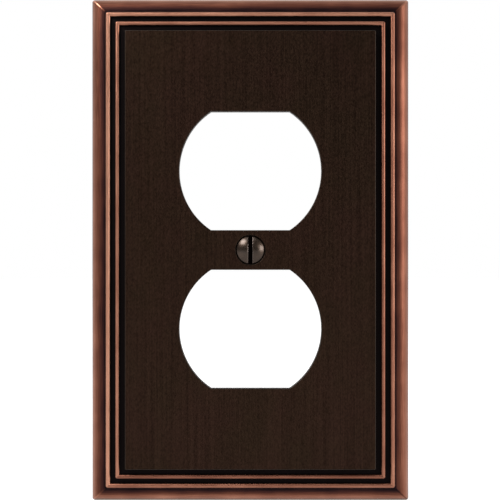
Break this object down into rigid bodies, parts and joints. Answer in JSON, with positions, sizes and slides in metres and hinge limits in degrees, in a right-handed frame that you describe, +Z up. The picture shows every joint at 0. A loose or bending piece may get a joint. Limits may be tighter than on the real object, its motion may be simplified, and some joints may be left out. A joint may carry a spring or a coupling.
{
  "type": "wall plate cover",
  "caption": "Rectangular hollow cast wall plate with a stepped moulded border, a raised brushed panel, flat-sided round outlet openings and a slotted oval-head mounting screw.",
  "frame": {"origin": "where the screw's axis crosses the wall plane that the plate's back rim lies on", "axes": "+X to the right and +Z up as the plate hangs on the wall, +Y into the wall; the front faces -Y"},
  "size_m": [0.0794, 0.0139, 0.1254],
  "materials": {
    "aged_bronze_casting": "brushed and antiqued",
    "dark_bronze_screw": "satin",
    "natural_nylon": "matte"
  },
  "bodies": {
    "cover": {"cover_plate": "aged_bronze_casting"},
    "retainer": {"screw_retainer": "natural_nylon"},
    "screw": {"mounting_screw": "dark_bronze_screw"}
  },
  "joints": [
    {"name": "screw_travel", "type": "slide", "parent": "cover", "child": "retainer", "axis": [0, -1, 0], "range_m": [0, 0.003]},
    {"name": "screw_turn", "type": "hinge", "parent": "retainer", "child": "screw", "pos_m": [0, 0, 0], "axis": [0, -1, 0], "range_deg": [0, 1361]}
  ],
  "couplings": [
    {"joint": "screw_turn", "follows": "screw_travel", "rad_per_m": 7915.8}
  ]
}
